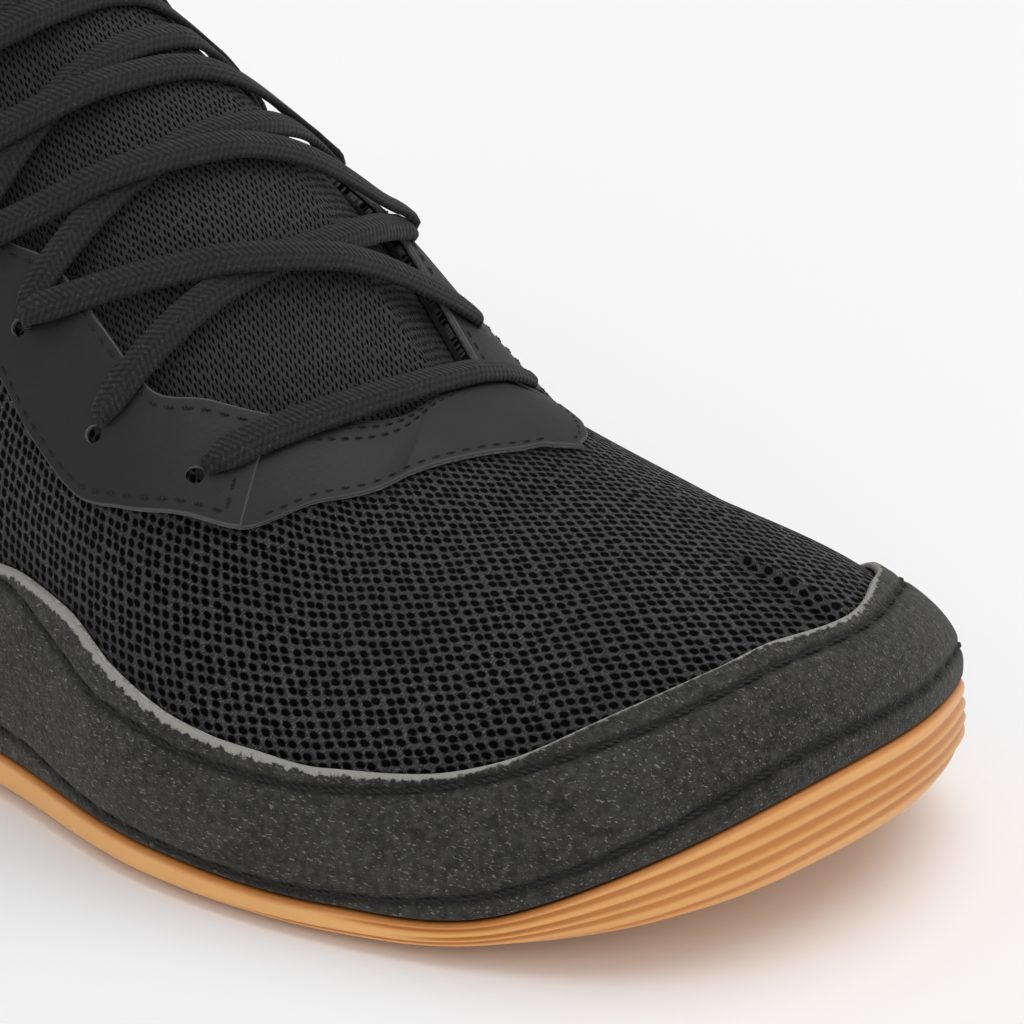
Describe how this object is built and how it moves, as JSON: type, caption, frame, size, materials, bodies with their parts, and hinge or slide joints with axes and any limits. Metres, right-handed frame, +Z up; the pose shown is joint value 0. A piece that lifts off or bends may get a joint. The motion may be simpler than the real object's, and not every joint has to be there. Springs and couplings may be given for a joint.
{
  "type": "wrestling shoe",
  "caption": "High soft wrestling shoe for the right foot: mesh boot with a suede toe rand, punched eyestays, crossed flat laces, padded tongue and a thin gum rubber sole with a ribbed toe.",
  "frame": {"origin": "on the floor under the middle of the whole shoe's bounding box", "axes": "+X points to the toe, +Y to the inner side of the foot where the big toe is, +Z up; the shoe stands on its sole"},
  "size_m": [0.276, 0.0995, 0.1746],
  "materials": {
    "gum_rubber": "satin moulded gum rubber",
    "knit_black": "open sandwich mesh, matte",
    "foam_grey": "brushed cloth over foam",
    "suede_charcoal": "short napped suede with raw pale edges",
    "synthetic_black": "matte coated synthetic",
    "synthetic_grey": "smooth coated synthetic",
    "binding_black": "rolled knit binding",
    "lace_black": "flat oval woven cord"
  },
  "bodies": {
    "root": {"outsole": "gum_rubber", "upper": "knit_black", "tongue": "knit_black", "insole": "foam_grey", "rand": "suede_charcoal", "heel_counter": "synthetic_black", "eyestay_lateral": "synthetic_black", "eyestay_medial": "synthetic_black", "throat_band": "synthetic_grey", "collar_binding": "binding_black", "laces": "lace_black"}
  },
  "joints": []
}
